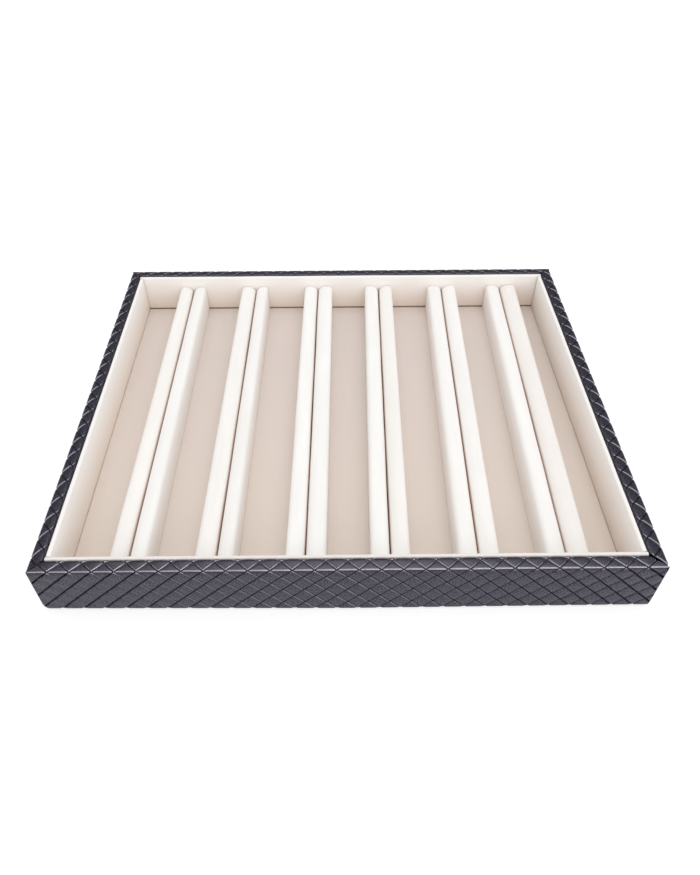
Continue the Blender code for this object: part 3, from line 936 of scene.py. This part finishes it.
def lining(wall, seed):
    """One lining, from the place of its solid."""
    low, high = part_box(f"lining_velvet_{wall}")
    bm = box_bmesh(low, high)
    axis = 0 if high.x - low.x > high.y - low.y else 1
    round_shoulders(bm, axis, 0, LINING_INNER_ROUND, LINING_OUTER_ROUND)
    slice_along(bm, axis, LINING_SLICE)
    for height in FOOT_SHADE_HEIGHTS:
        cut_line(bm, (0, 0, height), (0, 0, 1))
    for reach in JOINT_REACH:
        cut_line(bm, (0, 0, FLOOR_TOP + reach), (0, 0, 1))
        if axis == 1:
            cut_line(bm, (0, high.y - reach, 0), (0, 1, 0))

    def joint(place):
        shares = [JOINT_SHADES[wall] * np.interp(place.z - FLOOR_TOP, JOINT_REACH, (1, 0))]
        if axis == 1:
            shares.append(CORNER_JOINT_SHADE * np.interp(high.y - place.y, JOINT_REACH, (1, 0)))
        if wall == "front":
            shares.append(TOP_EDGE_SHADE * np.interp(high.z - place.z, TOP_EDGE_SHADE_DEPTHS, (1, 0)))
        if wall == "right":
            shares.append(FOOT_SHADE * np.interp(place.z, FOOT_SHADE_HEIGHTS, (1, 0)))
        return max(shares)

    # Painted shade in the joints, over the front card's top edge and at the right lining's foot
    mark_velvet_shade(bm, joint)
    if axis == 1:
        for vert in bm.verts:
            if vert.co.y < low.y + MM / 100:
                vert.co.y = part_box("lining_velvet_front")[1].y
    unsettle(bm, LINING_UNEVEN, 45, seed, low.z + 5 * MM)
    if wall == "front":
        for vert in bm.verts:
            if vert.co.z > (low.z + high.z) / 2:
                vert.co.z -= np.interp(vert.co.x, (low.x, 0, high.x), FRONT_SAGS)
    return make_piece(f"lining_{wall}", bm, CREAM_LINING, [f"lining_velvet_{wall}"])


for seed, wall in enumerate(("front", "back", "left", "right")):
    lining(wall, 10 * seed)

# %% [markdown]
# ## The floor pad
#
# The floor is a card with velvet drawn over it, so its edge is softly rounded where it meets
# the linings, and a thin dark joint is left round it, darkened further with painted shade. At
# both sides the pad is pushed up to the linings, and the joint there is finer.

# %% Floor pad
FLOOR_ROUND = 0.5 * MM
FLOOR_SLICE = 8 * MM
FLOOR_SPREAD = 0.35 * MM
FLOOR_UNEVEN = 0.06 * MM


def floor_pad():
    """The velvet floor, from the place of its solid."""
    low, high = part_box("floor_velvet")
    bm = box_bmesh(low, high)
    round_edges(bm, upper_edges(bm, (low.z + high.z) / 2), FLOOR_ROUND, 3)
    slice_along(bm, 0, FLOOR_SLICE)
    slice_along(bm, 1, FLOOR_SLICE)

    def edge_joint(place):
        depth = JOINT_SHADES["back"] if place.y > high.y - MM else JOINT_SHADES["left"]
        return depth * np.interp(high.z - place.z, (0.1 * MM, FLOOR_ROUND), (0, 1))

    # Painted shade along the pad's rounded top edge, as dark as the joint of the back or the side lining
    mark_velvet_shade(bm, edge_joint)
    for vert in bm.verts:
        if abs(vert.co.x) > high.x - MM:
            vert.co.x += FLOOR_SPREAD if vert.co.x > 0 else -FLOOR_SPREAD
    unsettle(bm, FLOOR_UNEVEN, 30, 5, low.z + MM)
    return make_piece("floor_pad", bm, FLOOR_VELVET, ["floor_velvet"])


floor_pad()

# %% [markdown]
# ## The ring rolls
#
# A roll is a strip of foam with velvet drawn round it. Its section is high and narrow: the
# shoulder toward the slot is a wide curve that leads a ring in, and the shoulder toward the
# channel is tighter. Each roll starts as a box, its long top edges are bevelled by those two
# radii, and its ends are rounded where the velvet is tucked in. The box is then leaned over by
# the angle at which the real roll was laid, and made slightly uneven.

# %% Roll sizes
# How far the foam swells into the slot, and how far from the slot that is gone
ROLL_SWELL = 0.2 * MM
ROLL_SWELL_REACH = 2 * MM
# Each shoulder's radius and steps
SLOT_SHOULDER = (5.0 * MM, 10)
CHANNEL_SHOULDER = (2.6 * MM, 7)
ROLL_END_ROUND = 1.2 * MM
ROLL_SLICE = 4 * MM
ROLL_UNEVEN = 0.14 * MM
# How far below the top the painted shade in the slot begins, and is full
SLOT_SHADE = (1.5 * MM, 4.5 * MM)
# How far from the slot's wall the painted shade is still full, and is gone
SLOT_SHADE_REACH = (0.2 * MM, 0.6 * MM)
# Painted shade over the whole of each roll, pair by pair from the left: its tone is a little warmer and
# darker there
ROLL_SHADES = {"left": (0.07, 0.06, 0, 0, 0.04, 0.02), "right": (0.01, 0.04, 0, 0.08, 0.04, 0.15)}
PAIRS = len(ROLL_SHADES["left"])
print("pairs of rolls", PAIRS)


# %% Rolls
def solid_section(node, near_y):
    """The lowest and highest X of a node's points near one of its ends."""
    xs = [vert.co.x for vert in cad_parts[node].data.vertices if abs(vert.co.y - near_y) < MM]
    return min(xs), max(xs)


def ring_roll(pair, side, seed):
    """One roll, with its lean read from the solid's two ends."""
    node = f"ring_roll_velvet_{pair}_{side}"
    low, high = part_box(node)
    front = solid_section(node, low.y)
    back = solid_section(node, high.y)
    left = (front[0] + back[0]) / 2
    right = (front[1] + back[1]) / 2
    bm = box_bmesh(Vector((left, low.y, low.z)), Vector((right, high.y, high.z)))
    slot_x = right if side == "left" else left
    round_shoulders(bm, 1, slot_x, SLOT_SHOULDER, CHANNEL_SHOULDER)
    ends = [edge for edge in bm.edges if abs(edge.verts[0].co.y - edge.verts[1].co.y) < MM / 100]
    round_edges(bm, ends, ROLL_END_ROUND, 4)
    slice_along(bm, 1, ROLL_SLICE)
    for depth in SLOT_SHADE:
        cut_line(bm, (0, 0, high.z - depth), (0, 0, 1))

    def slot(place):
        beside = np.interp(abs(place.x - slot_x), SLOT_SHADE_REACH, (1, 0))
        slot_shade = beside * np.interp(high.z - place.z, SLOT_SHADE, (0, 1))
        return max(slot_shade, ROLL_SHADES[side][pair - 1])

    # Painted shade in the slot, and over the whole roll
    mark_velvet_shade(bm, slot)
    lean = (back[0] - front[0]) / (high.y - low.y)
    swell = ROLL_SWELL if side == "left" else -ROLL_SWELL
    for vert in bm.verts:
        vert.co.x += swell * np.interp(abs(vert.co.x - slot_x), (0, ROLL_SWELL_REACH), (1, 0))
        vert.co.x += lean * (vert.co.y - (low.y + high.y) / 2)
    unsettle(bm, ROLL_UNEVEN, 35, seed, low.z + MM)
    foam = f"ring_roll_foam_{pair}_{side}"
    piece = make_piece(f"ring_roll_{pair}_{side}", bm, CREAM_ROLL, [node, foam])
    return piece


for pair in range(1, PAIRS + 1):
    for offset, side in enumerate(("left", "right")):
        ring_roll(pair, side, 100 + 7 * pair + 3 * offset)

# %% [markdown]
# ## The felt underneath
#
# The felt covers the turned-under hem. It is a thin plate with rounded corners. Its finish is a
# mat of short fibres, and so are those of board and card, so one function makes all three:
# stretched noise, spread between two tones, that is also the relief.


# %% Felt
def fibre_material(
    name, tones, scale, depth, stretch=(1, 1, 1), contrast=(0.3, 0.7), rough=0.85, gloss=0.2
):
    """A mat of fibres between two tones, stretched along its axes."""
    material, tree, shader = new_material(name, Roughness=rough, Specular_IOR_Level=gloss)
    place = add_node(tree, "TexCoord").outputs["Object"]
    stretched = add_mapping(tree, place, stretch)
    fibres = add_noise(tree, stretched, scale, detail=5, roughness=0.7)
    tone = add_mix(tree, add_range(tree, fibres, *contrast), *tones)
    tree.links.new(tone, shader.inputs["Base Color"])
    add_bump(tree, fibres, depth, shader)
    return material


FELT = fibre_material(
    "felt",
    tones=((0.030, 0.030, 0.034, 1), (0.065, 0.064, 0.070, 1)),
    scale=900,
    depth=0.15 * MM,
    contrast=(0.35, 0.65),
    rough=1.0,
    gloss=0.1,
)
FELT_CORNER_ROUND = 5 * MM
FELT_EDGE_ROUND = 0.2 * MM


def felt_piece():
    """The felt, from the place of its solid."""
    low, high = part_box("underside_felt")
    bm = box_bmesh(low, high)
    upright = [edge for edge in bm.edges if abs(edge.verts[0].co.z - edge.verts[1].co.z) > MM / 100]
    round_edges(bm, upright, FELT_CORNER_ROUND, 8)
    round_edges(bm, upper_edges(bm, (low.z + high.z) / 2), FELT_EDGE_ROUND, 2)
    return make_piece("felt_underside", bm, FELT, ["underside_felt"])


felt_piece()

# %% [markdown]
# ## The pieces that stay as they are
#
# The boards and cards are plain cut pieces, hidden when the tray is whole. They keep their
# solids and get the finish they would have on the bench: fibreboard with its speckle, and
# card with short fibres.

# %% Boards and cards
BOARD = fibre_material(
    "fibreboard",
    tones=((0.46, 0.33, 0.21, 1), (0.30, 0.20, 0.12, 1)),
    scale=700,
    depth=0.05 * MM,
)
CARD = fibre_material(
    "greyboard",
    tones=((0.66, 0.62, 0.55, 1), (0.50, 0.46, 0.40, 1)),
    scale=500,
    stretch=(1, 3, 3),
    depth=0.04 * MM,
)

for name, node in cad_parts.items():
    if "board" in name or "card" in name:
        finish = BOARD if "board" in name else CARD
        node.data.materials.clear()
        node.data.materials.append(finish)
        print(name, "is", finish.name)

# %% [markdown]
# ## The floor, the backdrop and the light
#
# The photograph was taken in a light tent: soft light from all sides, one softbox above and
# one behind the camera, and a pure white background. The floor here is a white sheet. Only
# where the camera looks straight at it, or sees it in a reflection, does it add a little light
# of its own, so it turns white without lighting the tray. Grey cloth round the back and the
# sides keeps the gloss on the leatherette deep. It shows only in reflections, so it takes no
# light off the velvet. Low dark cards beside the front corners are seen in the walls of the
# grooves alone.

# %% Floor and cloth
STAGE_SIZE = 30.0
CLOTH_RADIUS = 1.2
CLOTH_SPAN = radians(210)
# The cloth's height at the back and straight to the sides
CLOTH_BACK = 1.45
CLOTH_SIDE = 1.90
CLOTH_TONE = 0.24
CARD_TONE = 0.005
SHEET_TONE = 0.5
# The light that the sheet adds where it is seen
SHEET_GLOW = 0.66
# Low dark cards beside the front corners: x, and y and height of each end, front end first
LEFT_CARD = (-0.20, (-0.180, 0.045), (-0.10, 0.045))
RIGHT_CARD = (0.185, (-0.165, 0.045), (-0.10, 0.045))


def seen_directly(tree):
    """1 for the camera's rays and those seen by reflection or through glass, otherwise 0."""
    path = add_node(tree, "LightPath")
    seen = path.outputs["Is Camera Ray"]
    for kind in ("Is Glossy Ray", "Is Transmission Ray"):
        seen = add_larger(tree, seen, path.outputs[kind])
    return seen


def stage_piece(name, bm, material):
    """Something that stands round the tray and isn't part of it."""
    mesh = bpy.data.meshes.new(name)
    bm.to_mesh(mesh)
    bm.free()
    mesh.materials.append(material)
    piece = bpy.data.objects.new(name, mesh)
    bpy.context.scene.collection.objects.link(piece)
    return piece


def only_reflected(name, bm, tone):
    """A matt piece that takes no light off the tray and shows in its gloss alone."""
    material = new_material(name, Base_Color=(tone, tone, tone, 1), Roughness=1.0)[0]
    piece = stage_piece(name, bm, material)
    piece.visible_camera = False
    piece.visible_diffuse = False
    piece.visible_shadow = False


def white_floor():
    """A white sheet that keeps the tray's shadow."""
    material, tree, shader = new_material(
        "white_sheet",
        Base_Color=(SHEET_TONE, SHEET_TONE, SHEET_TONE, 1),
        Roughness=1.0,
        Specular_IOR_Level=0.0,
        Emission_Color=(1, 1, 1, 1),
    )
    strength = add_range(tree, seen_directly(tree), 0, 1, 0.0, SHEET_GLOW)
    tree.links.new(strength, shader.inputs["Emission Strength"])
    bm = bmesh.new()
    bmesh.ops.create_grid(bm, x_segments=1, y_segments=1, size=STAGE_SIZE / 2)
    stage_piece("white_floor", bm, material)


def dark_cloth():
    """A wall of cloth round the back and the sides."""
    bm = bmesh.new()
    edge = CLOTH_RADIUS * Vector((sin(CLOTH_SPAN / 2), cos(CLOTH_SPAN / 2), 0))
    foot = bm.verts.new(edge)
    head = bm.verts.new(edge + Vector((0, 0, 1)))
    side = bm.edges.new((foot, head))
    bmesh.ops.spin(bm, geom=[foot, head, side], axis=(0, 0, 1), angle=CLOTH_SPAN, steps=24)
    for vert in bm.verts:
        vert.co.z *= CLOTH_SIDE + (CLOTH_BACK - CLOTH_SIDE) * vert.co.y / CLOTH_RADIUS
    only_reflected("dark_cloth", bm, CLOTH_TONE)


def dark_card(name, x, front, back):
    """A low upright card beside a front corner, which the walls of the grooves reflect."""
    bm = bmesh.new()
    corners = [bm.verts.new((x, y, z)) for y, top in (front, back) for z in (0, top)]
    bmesh.ops.convex_hull(bm, input=corners)
    only_reflected(name, bm, CARD_TONE)


white_floor()
dark_cloth()
dark_card("dark_card_left", *LEFT_CARD)
dark_card("dark_card_right", *RIGHT_CARD)
print("stage ready")


# %% Light
def soft_lamp(name, place, size_x, size_y, power):
    """A rectangular softbox that faces the tray."""
    lamp = bpy.data.lights.new(name, "AREA")
    lamp.shape = "RECTANGLE"
    lamp.size = size_x
    lamp.size_y = size_y
    lamp.energy = power
    obj = bpy.data.objects.new(name, lamp)
    obj.location = place
    obj.rotation_euler = Vector(place).to_track_quat("Z", "Y").to_euler()
    bpy.context.scene.collection.objects.link(obj)


def tent_light(fill):
    """Soft light from all sides, and white where the camera looks past the floor."""
    world = bpy.data.worlds.new("light_tent")
    bpy.context.scene.world = world
    world.use_nodes = True
    tree = world.node_tree
    background = tree.nodes["Background"]
    background.inputs["Color"].default_value = (1, 1, 1, 1)
    path = add_node(tree, "LightPath")
    strength = add_range(tree, path.outputs["Is Camera Ray"], 0, 1, fill, 1.0)
    tree.links.new(strength, background.inputs["Strength"])
    world.cycles.sampling_method = "NONE"


soft_lamp("softbox_above", (0.15, 0.10, 1.05), 1.2, 0.4, 1.4)
soft_lamp("softbox_front", (0.35, -1.25, 0.55), 1.4, 0.7, 3.7)
tent_light(0.87)
